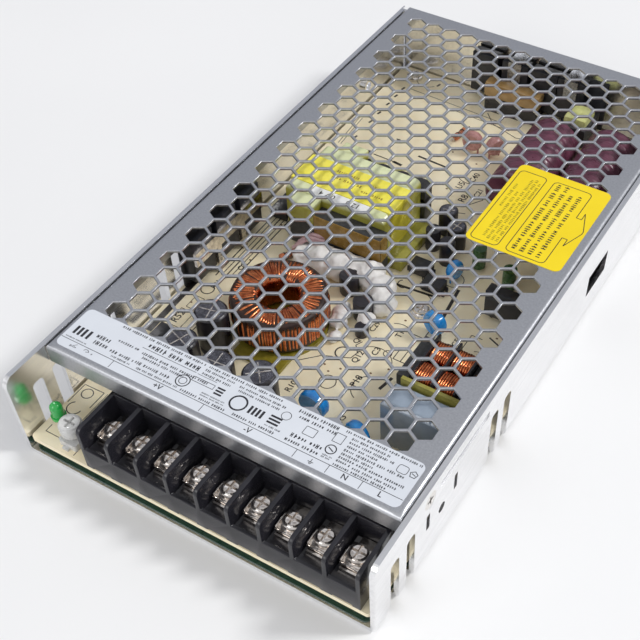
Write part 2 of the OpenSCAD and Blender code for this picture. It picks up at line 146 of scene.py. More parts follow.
def finish(name, dark, light, grain, rough, bump=0.0, metal=0.0, stretch=(1, 1, 1), coat=0.0):
    """A surface finish: two close colours mottled at the grain size, with its gloss and bump."""
    material = bpy.data.materials.new(name)
    material.use_nodes = True
    tree = material.node_tree
    shader = tune(
        tree.nodes["Principled BSDF"], ("Metallic", metal), ("Coat Weight", coat), ("Coat Roughness", 0.08)
    )
    place = add_node(tree, "TexCoord")
    turn = add_node(tree, "Mapping", ("Scale", stretch))
    look = mottled(tree, dark, light, grain, rough)
    look.name = "look"
    link_up(
        tree,
        (place, "Object", turn, "Vector"),
        (turn, "Vector", look, "Vector"),
        (look, "Color", shader, "Base Color"),
        (look, "Roughness", shader, "Roughness"),
    )
    if bump:
        relief = add_node(tree, "Bump", ("Strength", 1.0), ("Distance", bump))
        link_up(
            tree,
            (look, "Height", relief, "Height"),
            (relief, "Normal", shader, "Normal"),
        )
    return material


table_top = started(bpy.ops.mesh.primitive_grid_add, x_subdivisions=8, y_subdivisions=8, size=6)
table_top.name = "table_top"
table_top.data.materials.append(
    finish("table_white", (0.815, 0.815, 0.815), (0.84, 0.84, 0.838), 0.2, (0.5, 0.6))
)

world = bpy.data.worlds.new("room")
bpy.context.scene.world = world
world.use_nodes = True
sky = world.node_tree
backdrop = tune(sky.nodes["Background"], ("Strength", 0.9))
place = add_node(sky, "TexCoord")
side = add_node(sky, "VectorMath", (1, (0.62, -0.7, 0.35)))
side.operation = "DOT_PRODUCT"
shade = add_node(sky, "ValToRGB")
for stop, position, grey in zip(
    shade.color_ramp.elements, (0.15, 0.75), ((0.36, 0.38, 0.44, 1), (0.86, 0.86, 0.87, 1))
):
    stop.position = position
    stop.color = grey
level = add_node(sky, "MapRange", ("From Min", -1.0))
link_up(
    sky,
    (place, "Generated", side, 0),
    (side, "Value", level, "Value"),
    (level, "Result", shade, "Fac"),
    (shade, "Color", backdrop, "Color"),
)


def new_object(name, data):
    made = bpy.data.objects.new(name, data)
    bpy.context.scene.collection.objects.link(made)
    return made


def soft_panel(name, at, aim, size, watts):
    """A square light panel that faces a point."""
    lamp = bpy.data.lights.new(name, "AREA")
    lamp.energy = watts
    lamp.size = size
    panel = new_object(name, lamp)
    panel.location = at
    panel.rotation_euler = (Vector(aim) - Vector(at)).to_track_quat("-Z", "Y").to_euler()


soft_panel("key_panel", (1.8, 1.1, 2.0), (0, 0, 0), 0.5, 45)
soft_panel("front_panel", (-0.5, -1.3, 0.9), (0, 0, 0), 0.8, 5)

lens = bpy.data.cameras.new("camera")
camera = new_object("camera", lens)
camera.location = (0.12237, -0.21213, 0.23977)
camera.rotation_euler = [math.radians(angle) for angle in (38.982, 0.103, 30.462)]
lens.lens = 59.25
lens.shift_x = -0.1021
lens.shift_y = 0.1465
bpy.context.scene.camera = camera
bpy.context.scene.view_settings.view_transform = "Standard"

# ---------- chassis
# One sheet of 1.5 mm aluminium, folded into a tray with round bends. The mill finish shows fine
# streaks along the case, and the four cover screws are bright zinc.


def dress(material, *names):
    """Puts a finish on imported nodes, whose shape stays as it is."""
    for name in names:
        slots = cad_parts[name].data.materials
        slots.clear()
        slots.append(material)


aluminium = finish(
    "chassis_aluminium", (0.8, 0.8, 0.81), (0.92, 0.92, 0.93), 0.0011, (0.17, 0.24),
    bump=0.0000008, metal=1.0, stretch=(1, 0.06, 1),
)
dress(aluminium, "chassis")

bright_zinc = finish(
    "bright_zinc", (0.66, 0.62, 0.58), (0.86, 0.84, 0.82), 0.0007, (0.12, 0.26),
    bump=0.000004, metal=1.0,
)
dress(bright_zinc, "cover_screws", "board_screws")

# The insulating film under the board is a thin sheet, partly painted shade: its dark green colour stands in
# for the shadow under the board.
dress(
    finish("dark_film", (0.015, 0.05, 0.035), (0.03, 0.075, 0.05), 0.002, (0.25, 0.4)),
    "insulation_sheet",
)

# ---------- mesh cover
# One sheet of 0.8 mm zinc coated steel, punched with 406 hexagons in offset rows and folded
# down at the sides, the front lip and the rear. The punch leaves a slightly rounded rim.
sheet = 0.8 * mm
rim = 0.13 * mm
hex_pitch = 7 * mm
hex_flat = 6.18 * mm
hex_cols = 14
hex_rows = 29
first_hex_y = cad_box[0].y + 36 * mm
cover_low, cover_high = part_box("cover")
lip_shift = 0.9 * mm
border = 3 * mm
front_border = 3.8 * mm
panel_low = Vector((cover_low.x + border, cover_low.y + front_border + lip_shift))
panel_high = Vector((cover_high.x - border, cover_high.y - border))


def alone(piece):
    """Selects one piece and nothing else, ready for an operator."""
    deselect()
    piece.select_set(True)
    bpy.context.view_layer.objects.active = piece
    return piece


def edit(action="SELECT"):
    """Opens the active piece for editing, with all or none of it selected."""
    bpy.ops.object.mode_set(mode="EDIT")
    bpy.ops.mesh.select_all(action=action)


def done():
    bpy.ops.object.mode_set(mode="OBJECT")


def pick(piece, kind, wanted):
    """Selects the faces or edges of a piece that pass a test, and leaves it open for editing."""
    alone(piece)
    edit("DESELECT")
    bpy.ops.mesh.select_mode(type=kind)
    done()
    for part in piece.data.polygons if kind == "FACE" else piece.data.edges:
        part.select = wanted(part)
    bpy.ops.object.mode_set(mode="EDIT")


def drop_faces(piece, unwanted):
    pick(piece, "FACE", unwanted)
    bpy.ops.mesh.delete(type="FACE")
    done()


def cut(piece, point, normal, **how):
    """Cuts a piece along a plane."""
    alone(piece)
    edit()
    bpy.ops.mesh.bisect(plane_co=point, plane_no=normal, **how)
    done()


def merge(piece, gap=0.002 * mm):
    """Joins the points of a piece that lie on each other."""
    alone(piece)
    edit()
    bpy.ops.mesh.remove_doubles(threshold=gap)
    done()


def apply_modifiers(piece):
    alone(piece)
    for modifier in list(piece.modifiers):
        bpy.ops.object.modifier_apply(modifier=modifier.name)


def hold_place(piece):
    """Moves a piece's place, turn and size into its mesh."""
    alone(piece)
    bpy.ops.object.transform_apply(location=True, rotation=True, scale=True)


def smooth(piece, angle=35):
    alone(piece)
    bpy.ops.object.shade_smooth_by_angle(angle=math.radians(angle))


def join(pieces, name):
    """Makes one piece of several."""
    deselect()
    for piece in pieces:
        piece.select_set(True)
    bpy.context.view_layer.objects.active = pieces[0]
    bpy.ops.object.join()
    pieces[0].name = name
    return pieces[0]


def fit(piece, slot, *nodes, body="case"):
    """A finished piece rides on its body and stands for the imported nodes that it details."""
    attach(piece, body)
    if nodes:
        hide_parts(*nodes)


def finished(pieces, name, material, slot, *nodes, body="case", angle=40):
    """Joins shaped pieces, gives them a finish, smooths them and hangs them on their body."""
    for piece in pieces:
        piece.data.materials.clear()
    whole = join(pieces, name)
    whole.data.materials.append(material)
    smooth(whole, angle)
    fit(whole, slot, *nodes, body=body)


def copy_of(node):
    """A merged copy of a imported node's mesh."""
    piece = new_object(node + "_piece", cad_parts[node].data.copy())
    alone(piece)
    if piece.data.has_custom_normals:
        bpy.ops.mesh.customdata_custom_splitnormals_clear()
    merge(piece)
    return piece


def repeated(piece, count, offset):
    """Copies a piece along a straight row."""
    row = alone(piece).modifiers.new("row", "ARRAY")
    row.count = count
    row.use_relative_offset = False
    row.use_constant_offset = True
    row.constant_offset_displace = offset
    apply_modifiers(piece)


def plate(low, high, z=0.0):
    """A flat rectangle between two corners in millimetres, at a height in metres."""
    piece = started(bpy.ops.mesh.primitive_plane_add, size=mm)
    piece.scale = (high[0] - low[0], high[1] - low[1], 1)
    piece.location = ((low[0] + high[0]) / 2 * mm, (low[1] + high[1]) / 2 * mm, z)
    hold_place(piece)
    return piece


def hexagon_cell():
    """One hole with the web round it: the rim rolls over at the top and again underneath."""
    cell = started(
        bpy.ops.mesh.primitive_circle_add, vertices=6, radius=hex_pitch / math.sqrt(3), fill_type="NGON",
        location=(0, 0, cover_high.z),
    )
    bpy.ops.object.transform_apply(location=True)
    web = (hex_pitch - hex_flat) / 2
    edit()
    bpy.ops.mesh.inset(thickness=web - rim)
    for step in range(2):
        bpy.ops.mesh.inset(thickness=rim / 2, depth=-rim * (0.2 + 0.6 * step))
    bpy.ops.mesh.extrude_region_move(TRANSFORM_OT_translate={"value": (0, 0, 1.6 * rim - sheet)})
    for width in ((hex_flat + 2 * rim) / hex_flat, hex_pitch / (hex_flat + 2 * rim)):
        bpy.ops.mesh.extrude_region_move(TRANSFORM_OT_translate={"value": (0, 0, 0)})
        bpy.ops.transform.resize(value=(width, width, 1))
    bpy.ops.mesh.delete(type="ONLY_FACE")
    done()
    return cell


def perforated_panel():
    """The rows of cells, then the plain border round them, on both faces of the sheet."""
    row_step = hex_pitch * math.sqrt(3) / 2
    rows = []
    for odd in (0, 1):
        row = hexagon_cell()
        row.data.transform(Matrix.Translation((
            -(hex_cols - 0.5 - odd) / 2 * hex_pitch, first_hex_y + odd * row_step, 0,
        )))
        repeated(row, hex_cols, (hex_pitch, 0, 0))
        repeated(row, (hex_rows + 1 - odd) // 2, (0, 2 * row_step, 0))
        rows.append(row)
    for z in (cover_high.z, cover_high.z - sheet):
        outline = plate(panel_low / mm, panel_high / mm, z)
        edit()
        bpy.ops.mesh.delete(type="ONLY_FACE")
        done()
        rows.append(outline)
    panel = join(rows, "mesh_panel")
    merge(panel, 0.02 * mm)
    for low, high in ((cover_high.z - 0.1 * mm, 1), (-1, cover_high.z - 0.7 * mm)):
        uses = Counter(key for face in panel.data.polygons for key in face.edge_keys)
        pick(panel, "EDGE", lambda edge: uses[edge.key] < 2 and all(
            low < panel.data.vertices[i].co.z < high for i in edge.vertices
        ))
        bpy.ops.mesh.fill(use_beauty=True)
        done()
    return panel


def folded_edges():
    """The folded sides, lip and rear, cut out of the whole cover along the panel's border."""
    piece = copy_of("cover")
    for point in piece.data.vertices:
        if point.co.y < panel_low.y - 0.8 * mm:
            point.co.y += lip_shift
    for point, normal in (
        ((panel_low.x, 0, 0), (1, 0, 0)),
        ((panel_high.x, 0, 0), (1, 0, 0)),
        ((0, panel_low.y, 0), (0, 1, 0)),
        ((0, panel_high.y, 0), (0, 1, 0)),
    ):
        cut(piece, point, normal)
    drop_faces(piece, lambda face: (
        panel_low.x < face.center.x < panel_high.x
        and panel_low.y < face.center.y < panel_high.y
        and face.center.z > cover_high.z - 2 * mm
    ))
    return piece


zinc_sheet = finish(
    "zinc_sheet", (0.48, 0.49, 0.515), (0.57, 0.58, 0.605), 0.0006, (0.28, 0.38),
    bump=0.0000015, metal=0.9,
)
finished([perforated_panel(), folded_edges()], "mesh_cover", zinc_sheet, "cover_metal", "cover", angle=50)

# ---------- circuit board
# A cream paper and glass laminate. The pads, outlines and part numbers are printed in black on
# top, and small drilled holes show brown.
dress(
    finish("cream_laminate", (0.96, 0.84, 0.58), (0.98, 0.89, 0.66), 0.006, (0.3, 0.5), bump=0.000008),
    "circuit_board",
)
board_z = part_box("circuit_board")[1].z
black_ink = finish("black_ink", (0.018, 0.015, 0.013), (0.035, 0.03, 0.027), 0.0006, (0.4, 0.55))
brown_ink = finish("drilled_brown", (0.12, 0.06, 0.02), (0.22, 0.12, 0.05), 0.0005, (0.5, 0.7))

# A one millimetre square is the start of every printed line and bar. Print lies just clear of
# what carries it, and the marks of the drilled holes lie just over the board's print.
ink = plate((-0.5, -0.5), (0.5, 0.5))
ink_thick = 0.02 * mm
ink_lift = 0.002 * mm
print_lift = 0.005 * mm
hole_lift = 0.008 * mm


def place_at(x, y, turn=0.0, z=0.0):
    """A place in millimetres with a turn about Z in degrees."""
    return Matrix.Translation((x * mm, y * mm, z * mm)) @ Matrix.Rotation(math.radians(turn), 4, "Z")


def stamp(base, x, y, turn=0.0, wide=1.0, deep=1.0, z=0.0, tall=1.0):
    """A copy of a small shape with its own mesh, sized, turned and placed in millimetres."""
    mark = new_object(base.name + "_copy", base.data.copy())
    mark.data.transform(place_at(x, y, turn, z) @ Matrix.Diagonal((wide, deep, tall, 1)))
    return mark


def line(start, end, width):
    run = Vector(end) - Vector(start)
    middle = (Vector(start) + Vector(end)) / 2
    return stamp(ink, *middle, math.degrees(math.atan2(run.y, run.x)), run.length, width)


def ring(x, y, radius, width, first=0, last=360, sides=32):
    """A printed ring, or the arc of it between two angles."""
    loop = started(bpy.ops.mesh.primitive_circle_add, vertices=sides, radius=radius * mm, fill_type="NGON")
    edit()
    bpy.ops.mesh.inset(thickness=width * mm)
    bpy.ops.mesh.delete(type="FACE")
    done()
    drop_faces(loop, lambda face: not (
        first <= math.degrees(math.atan2(face.center.y, face.center.x)) % 360 <= last
    ))
    loop.data.transform(place_at(x, y))
    return loop


def box_line(low, high, width, corner=0.0):
    """A printed outline of a box, with square or round corners."""
    outline = plate(low, high)
    edit()
    if corner:
        bpy.ops.mesh.bevel(offset=corner * mm, segments=4, affect="VERTICES")
        bpy.ops.mesh.select_all(action="SELECT")
    bpy.ops.mesh.inset(thickness=width * mm)
    bpy.ops.mesh.delete(type="FACE")
    done()
    return outline


def drawn(strokes=(), rings=(), boxes=(), bars=()):
    """Printed marks from their sizes. A stroke is a width and the points that it runs through."""
    marks = [line(a, b, width) for width, *points in strokes for a, b in zip(points, points[1:])]
    marks += [ring(*sizes) for sizes in rings]
    marks += [box_line(*sizes) for sizes in boxes]
    return marks + [stamp(ink, *sizes) for sizes in bars]


def word(text, x, y, height, turn=0.0, bold=0.0):
    """A short printed mark, made a mesh before it is placed."""
    mark = started(bpy.ops.object.text_add)
    mark.data.body = text
    mark.data.size = height * 1.4 * mm
    mark.data.offset = bold * mm
    mark.data.align_x = "CENTER"
    mark.data.align_y = "CENTER"
    mark.data.resolution_u = 3
    bpy.ops.object.convert(target="MESH")
    mark.data.transform(place_at(x, y, turn))
    return mark


def thicken(piece, height):
    """Gives a flat piece its thickness upwards."""
    alone(piece)
    edit()
    bpy.ops.mesh.extrude_region_move(TRANSFORM_OT_translate={"value": (0, 0, height)})
    bpy.ops.mesh.select_all(action="SELECT")
    bpy.ops.mesh.normals_make_consistent(inside=False)
    done()


def printed(marks, name, z, material, slot):
    """Joins flat marks, gives the ink its thickness and lays it on a surface."""
    for mark in marks:
        mark.data.materials.clear()
    piece = join(marks, name)
    piece.data.transform(Matrix.Translation((0, 0, z)))
    thicken(piece, ink_thick)
    piece.data.materials.clear()
    piece.data.materials.append(material)
    fit(piece, slot)


# striped outlines beside the left hand devices, broad and narrow by turns
stripes = []
for step in range(5):
    x = -49.2 + 1.5 * step
    stripes.append((0.28 if step % 2 else 0.42, (x, -28 + step), (x - 0.6, 20)))
outlines = drawn(
    strokes=stripes + [
        # at the left, in front of the devices and behind them
        (0.3, (-44.2, 20), (-44.2, 26), (-47.5, 30), (-47.5, 46)),
        (0.3, (-42.7, 20), (-42.7, 24), (-39, 30)), (2.2, (-52.6, -58), (-53.2, -33)),
        (0.3, (-43.5, -60), (-42.6, -47)), (0.3, (-42.6, -60), (-41.7, -47)),
        (0.3, (-41.6, -60), (-40.7, -47)),
        (0.25, (-50.9, -62), (-47, -62), (-47, -56), (-50.9, -56), (-50.9, -62)),
        # round the controls at the front left corner
        (0.26, (-54.8, -92), (-54.8, -84.4), (-47.8, -84.2), (-47.8, -90.6)),
        (0.22, (-53, -100.6), (-53, -103.2), (-47.6, -103.2)),
        (0.22, (-40.5, -93), (-37.5, -96), (-40.5, -99), (-40.5, -106)),
        (0.22, (-46.6, -104), (-46.6, -84)), (0.22, (-45.2, -96), (-45.2, -84)),
        # on the open part of the board, right of the large ring choke
        (0.28, (3.2, -38), (6.6, -36.4), (7.2, -33.6), (5.2, -31.2), (6.2, -29)),
        (0.28, (-6.4, -45), (-1.5, -40), (1.6, -38.6)), (0.28, (20, -30.4), (20, -25)),
        (1, (20.1, -42.6), (21.2, -37)), (1.1, (22.7, -11), (20.8, 5.3)),
        (1.1, (24.3, -20.2), (22.9, -12.2)), (0.9, (2.4, -2.4), (15.2, -1.3)),
        (0.3, (11.5, 1.1), (18.4, 0.3)), (0.3, (17.5, -18.6), (21.5, -18.6), (21.5, -14.2)),
        (0.26, (26, -24.6), (33.4, -24.6), (33.4, -10), (37, -10)),
        (0.5, (38.5, -8.2), (48.5, -12.4)), (0.26, (37, -15.6), (44, -12.8)),
        # behind the transformer
        (2.1, (-44.4, 50.2), (-38.8, 51)), (0.45, (-37.6, 50.8), (-27.6, 50.6)),
        (1.1, (-29.4, 50.6), (-25.8, 50.2)), (0.8, (-23.3, 57.8), (-12, 57.2)),
        (0.24, (-45.6, 92), (-6.5, 90.2)), (0.24, (-30, 88.4), (-2, 87.2)),
        (0.3, (-13.6, 93), (-9, 88), (2, 84.6), (6.5, 86)), (0.3, (3.6, 42), (7.4, 47.6), (7.4, 55)),
        (0.3, (-1.6, 36), (5.6, 38.6)), (0.22, (-52, 50), (-53.2, 67)), (0.22, (-50.9, 50), (-52.1, 67)),
    ],
    rings=[
        (-47.7, -34.3, 2.3, 0.35), (-44.6, -40.5, 1.9, 0.3, 20, 250), (-51.6, -92.8, 2.4, 0.32, 120, 360),
        (-51.9, -86.8, 1.9, 0.3), (-50.4, -97.6, 1.6, 0.24, 0, 200), (-39.4, -99.2, 2.1, 0.4, 60, 290),
        (3.4, -35.8, 2.5, 0.45, 90, 300), (15.2, -29.4, 1.4, 0.28), (12.6, -35, 6.5, 0.25, 20, 160),
        (5.6, -47.8, 2.7, 0.3), (17.4, -44.4, 5.2, 0.28, 100, 250), (9.6, 4.6, 1.5, 0.3),
        (4.4, -1.2, 1.9, 0.35, 120, 330), (17.4, 8.4, 3.4, 0.28), (10.5, -8.5, 7.6, 0.26, 10, 75),
        (13.5, -22, 5.4, 0.26, 30, 120), (29.6, -19.2, 2.6, 0.26, 0, 200),
        (43.8, -20.6, 3.2, 0.26, 60, 300), (-42.6, 100.4, 4.6, 0.26, 180, 330),
        (-1.8, 58.2, 5.2, 0.28, 210, 300),
    ],
    boxes=[
        ((-49.8, -52.5), (-44.8, -45), 0.22), ((-49, -44), (-45.6, -38.4), 0.22, 0.4),
        ((-43.4, -97.6), (-38.4, -90.8), 0.22, 0.9), ((17.4, -30.4), (22.6, -25), 0.28),
    ],
    bars=[(-48.4, y, 78, 1.9, 0.75) for y in (50.6, 56, 66.7, 72.9, 79.3, 85.3, 90.8)]
    + [(-37.8, 99.4, 78, 1.9, 0.75), (-52, 44, 78, 1.6, 0.6)],
)
# part numbers run along the board
for text, x, y, height in (
    ("Q12", 8.2, -35, 2), ("C29", 6.2, -21.7, 1.9), ("C3", 11.8, -30.3, 2), ("Q5", 4.5, -28.9, 1.9),
    ("D5", 10.7, 1.4, 1.7), ("P18", 12.8, -43.3, 2.2), ("R10", -2.6, -54.6, 2), ("C40", -0.4, 57.1, 2.2),
    ("U5", -2.7, 51.1, 2.3), ("R8", 1.4, 45.3, 2.6), ("C21", 4.6, 50.4, 2), ("R52", -48.3, -48.6, 2.3),
    ("C7", -49.3, -57.6, 2.2), ("Q2", -44.2, -20.4, 1.9), ("R31", -46.6, -31.2, 1.8), ("T1", 14.4, -20.6, 2),
    ("C5", 30.8, -15.2, 2), ("D2", 44.8, -16.4, 1.9), ("J4", -34, 62, 1.9), ("R3", 16.6, -57.4, 1.9),
):
    outlines.append(word(text, x, y, height, turn=90, bold=0.035))
printed(outlines, "board_print", board_z + print_lift, black_ink, "board_laminate")

hole = started(bpy.ops.mesh.primitive_circle_add, vertices=8, radius=0.42 * mm, fill_type="NGON")
holes = [hole]
for x, y in (
    (-41.8, -101.8), (-38.6, -95.2), (-41, -93.6), (1.2, -42.4), (3.6, -44.2), (6.2, -41.6), (9, -25.6),
    (13, -14.8), (16.2, -13.4), (18.6, -34.6), (14.8, -38.6), (-48.6, -41.6), (-46.4, -43.2), (-50.2, -50),
    (-47.2, -53.4), (-43.8, -16.6), (-45.4, -5.4), (-44.6, 2.6), (4.8, 47.6), (-6, 47), (-13.8, 66),
    (-8.6, 62.4), (-3.4, 64.2), (1.2, 81.4), (-20.4, 95.6), (26.8, -12), (35.4, -20.8), (40.6, -7.4),
):
    holes.append(stamp(hole, x, y, 0, 1.0, 0.8))
printed(holes, "drilled_holes", board_z + hole_lift, brown_ink, "board_laminate")

# Two small control chips stand on the board at the left, and two banded resistors lie on it.


def block(low, high, ease=0.2):
    """A block between two corners in millimetres, with rounded edges."""
    piece = started(
        bpy.ops.mesh.primitive_cube_add, size=mm, location=[(a + b) / 2 * mm for a, b in zip(low, high)]
    )
    piece.scale = [b - a for a, b in zip(low, high)]
    hold_place(piece)
    edit()
    bpy.ops.mesh.bevel(offset=ease * mm, segments=2, affect="EDGES")
    done()
    return piece


def ease_edges(piece, width, angle, steps=2):
    """Rounds the edges that turn by more than an angle."""
    edge = piece.modifiers.new("edge", "BEVEL")
    edge.width = width
    edge.segments = steps
    edge.limit_method = "ANGLE"
    edge.angle_limit = math.radians(angle)
    apply_modifiers(piece)


def rod(start, end, radius, ease=0.1, sides=16):
    """A round bar between two points in millimetres, its ends eased."""
    run = (Vector(end) - Vector(start)) * mm
    piece = started(
        bpy.ops.mesh.primitive_cylinder_add, vertices=sides, radius=radius * mm, depth=run.length
    )
    ease_edges(piece, ease * mm, 60)
    piece.data.transform(
        Matrix.Translation((Vector(start) + Vector(end)) / 2 * mm)
        @ run.to_track_quat("Z", "Y").to_matrix().to_4x4()
    )
    return piece


device_black = finish("device_plastic", (0.014, 0.015, 0.02), (0.028, 0.029, 0.036), 0.0015, (0.3, 0.45))
# the board's upper face, in millimetres
board_top = 6.5
leg_pitch = 2.54
chips = []
legs = []
for x, y in ((-46.8, 9), (-45.5, -60)):
    chips.append(block((x - 3.2, y - 4.7, 7), (x + 3.2, y + 4.7, 10.3), 0.3))
    for leg_x in (x - 3.5, x + 3.5):
        for step in (-1.5, -0.5, 0.5, 1.5):
            leg_y = y + leg_pitch * step
            legs.append(block(
                (leg_x - 0.4, leg_y - 0.3, board_top), (leg_x + 0.4, leg_y + 0.3, 8.5), 0.1
            ))
finished(chips, "control_chips", device_black, "device_plastic")
finished(legs, "control_chip_legs", bright_zinc, "bright_steel")
lead_radius = 0.3
bodies = []
bands = []
leads = []
for x, y, turn in ((-15.6, 75, 80), (-33.5, -9.5, 62)):
    along = Vector((math.cos(math.radians(turn)), math.sin(math.radians(turn)), 0))
    middle = Vector((x, y, board_top + 1.5))
    bodies.append(rod(middle - along * 2.2, middle + along * 2.2, 1.0, 0.3))
    for way in (-along, along):
        bend = middle + way * 5.4
        bodies.append(rod(middle + way * 1.4, middle + way * 3.2, 1.25, 0.45))
        leads.append(rod(middle + way * 3.1, bend, lead_radius, 0.05, 8))
        leads.append(rod(bend, bend - Vector((0, 0, 1.5)), lead_radius, 0.05, 8))
    for step, radius in ((-1.3, 1.27), (-0.5, 1.03), (0.4, 1.03), (1.2, 1.27)):
        bands.append(rod(middle + along * (step - 0.16), middle + along * (step + 0.16), radius, 0.02))
coral = finish("coral_lacquer", (0.45, 0.12, 0.05), (0.62, 0.22, 0.1), 0.001, (0.15, 0.3))
finished(bodies, "banded_resistors", coral, "green_lacquer")
finished(bands, "resistor_bands", black_ink, "green_lacquer")
finished(leads, "resistor_leads", bright_zinc, "bright_steel")

# ---------- terminal strip
# A black moulded strip with nine bays. Each bay has a tinned plate, a square clamp washer and a
# pan head screw with a cross and slot recess.


def eased_copy(node, width, angle=30):
    """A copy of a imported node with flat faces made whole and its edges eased."""
    piece = copy_of(node)
    edit()
    bpy.ops.mesh.dissolve_limited(angle_limit=math.radians(0.5))
    done()
    ease_edges(piece, width, angle)
    return piece


def detailed(node, slot, material, width, body="case", angle=30):
    """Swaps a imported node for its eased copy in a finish."""
    finished([eased_copy(node, width, angle)], node + "_piece", material, slot, node, body=body)


black_moulding = finish(
    "black_moulding", (0.014, 0.014, 0.018), (0.022, 0.021, 0.027), 0.006, (0.16, 0.24), bump=0.000002
)
detailed("terminal_housing", "black_moulding", black_moulding, 0.25 * mm)
tinned = finish(
    "tinned_steel", (0.48, 0.43, 0.39), (0.84, 0.8, 0.76), 0.0012, (0.06, 0.16), bump=0.000008, metal=1
)
detailed("terminal_plates", "bright_steel", tinned, 0.12 * mm)
detailed("terminal_clamps", "bright_steel", tinned, 0.12 * mm)
detailed("terminal_screws", "screw_steel", tinned, 0.1 * mm, angle=25)
first_bay = -29.4
bay_pitch = 9.6
ears = []
for bay in range(9):
    for side in (-3.12, 3.12):
        x = first_bay + bay_pitch * bay + side
        ears.append(block((x - 0.17, -102, 15.2), (x + 0.17, -97.2, 16.9), 0.08))
finished(ears, "clamp_ears", tinned, "bright_steel")

# ---------- lamp, trimmer and selector
# A green 3 mm lamp on its leads, a white trimmer drum on a low body, and a dark brown slider
# behind the window of the right wall.
lamp_green = finish("lamp_green", (0.01, 0.32, 0.05), (0.03, 0.46, 0.09), 0.003, (0.03, 0.08), coat=0.6)
lamp_x = -49.5
lamp_y = -99.8
lens_radius = 1.85
flange_radius = 2.2
lens_middle = (0, 0, 4 * mm)
lamp = started(
    bpy.ops.mesh.primitive_uv_sphere_add, segments=28, ring_count=16, radius=lens_radius * mm,
    location=lens_middle,
)
hold_place(lamp)
cut(lamp, lens_middle, (0, 0, 1), clear_inner=True)
edit("DESELECT")
bpy.ops.mesh.select_mode(type="EDGE")
bpy.ops.mesh.select_non_manifold()
for down, wider in ((3, 1), (0, flange_radius / lens_radius), (1, 1)):
    bpy.ops.mesh.extrude_edges_move(TRANSFORM_OT_translate={"value": (0, 0, -down * mm)})
    bpy.ops.transform.resize(value=(wider, wider, 1))
bpy.ops.mesh.fill()
bpy.ops.mesh.select_all(action="SELECT")
bpy.ops.mesh.normals_make_consistent(inside=False)
done()
lamp.data.transform(place_at(lamp_x, lamp_y, z=11.4))
finished([lamp], "lamp", lamp_green, "green_lamp", "status_led", angle=50)
lamp_leads = [
    block((x - 0.3, lamp_y - 0.3, board_top), (x + 0.3, lamp_y + 0.3, 11.5), 0.08)
    for x in (lamp_x - leg_pitch / 2, lamp_x + leg_pitch / 2)
]
finished(lamp_leads, "lamp_leads", bright_zinc, "screw_steel")
white_plastic = finish("white_plastic", (0.56, 0.56, 0.55), (0.66, 0.66, 0.65), 0.002, (0.2, 0.35))
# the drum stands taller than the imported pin, so its copy is drawn up and out about its own axis
drum_wider = 1.09
drum_taller = 2.0
rotor_low, rotor_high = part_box("trimmer_rotor")
rotor_at = (rotor_low + rotor_high) / 2
rotor_at.z = rotor_low.z
drum = eased_copy("trimmer_rotor", 0.1 * mm)
drum.data.transform(
    Matrix.Translation(rotor_at)
    @ Matrix.Diagonal((drum_wider, drum_wider, drum_taller, 1))
    @ Matrix.Translation(-rotor_at)
)
finished([drum], "trimmer_drum", white_plastic, "white_plastic", "trimmer_rotor", body="trimmer_rotor")
dress(white_plastic, "trimmer_body")
dress(black_moulding, "selector_body")
slider_brown = finish("slider_brown", (0.05, 0.038, 0.036), (0.09, 0.07, 0.066), 0.002, (0.25, 0.4))
detailed("selector_slider", "red_plastic", slider_brown, 0.2 * mm, body="selector_slider")

# ---------- rating label
# A satin white self-adhesive label on the front of the cover. The ruled line and its ticks mark
# each terminal, and the rows of small print above them are strokes that spell nothing.
label_white = finish("label_white", (0.64, 0.67, 0.72), (0.69, 0.72, 0.77), 0.012, (0.3, 0.42))
label_black = finish("label_black", (0.012, 0.012, 0.016), (0.028, 0.028, 0.034), 0.0006, (0.3, 0.45))
label_thick = 0.12 * mm


def thin_sheet(low, high, z, corner, steps, thick, name):
    """A thin flat sheet with round corners, lying at a height."""
    piece = plate(low, high, z)
    piece.name = name
    edit()
    bpy.ops.mesh.bevel(offset=corner * mm, segments=steps, affect="VERTICES")
    done()
    thicken(piece, thick)
    return piece


def sticker(low, high, corner, name, material, slot, node):
    """A label with an eased edge, laid on the cover."""
    piece = thin_sheet(low, high, cover_high.z, corner, 8, label_thick, name)
    ease_edges(piece, 0.04 * mm, 30, 1)
    piece.data.materials.append(material)
    fit(piece, slot, node)


sticker((-54.2, -89.9), (53.4, -74.9), 1.8, "rating_sheet", label_white, "white_label", "rating_label")
label_z = cover_high.z + label_thick + ink_lift
small_print = random.Random(7)


def row_of_print(start, end, height, turn=0.0):
    """A row of small strokes in the rhythm of words, from start along its direction."""
    marks = []
    along = Vector((math.cos(math.radians(turn)), math.sin(math.radians(turn))))
    length = (Vector(end) - Vector(start)).length
    run = 0.0
    left = small_print.randint(3, 9)
    while run < length:
        wide = height * small_print.uniform(0.34, 0.62)
        place = Vector(start) + along * (run + wide / 2)
        tall = height * small_print.choice((0.72, 0.72, 0.95, 1.0))
        kind = small_print.random()
        if kind < 0.45:
            marks.append(stamp(ink, *place, turn, wide * 0.42, tall))
            marks.append(stamp(ink, *(place + along * wide * 0.3), turn, wide * 0.5, height * 0.28))
        elif kind < 0.8:
            marks.append(stamp(ink, *(place - along * wide * 0.28), turn, wide * 0.32, tall))
            marks.append(stamp(ink, *(place + along * wide * 0.28), turn, wide * 0.32, tall))
            marks.append(stamp(ink, *place, turn, wide * 0.6, height * 0.24))
        else:
            marks.append(stamp(ink, *place, turn, wide * 0.62, tall * 0.8))
        run += wide + height * 0.2
        left -= 1
        if left == 0:
            run += height * 0.55
            left = small_print.randint(3, 9)
    return marks


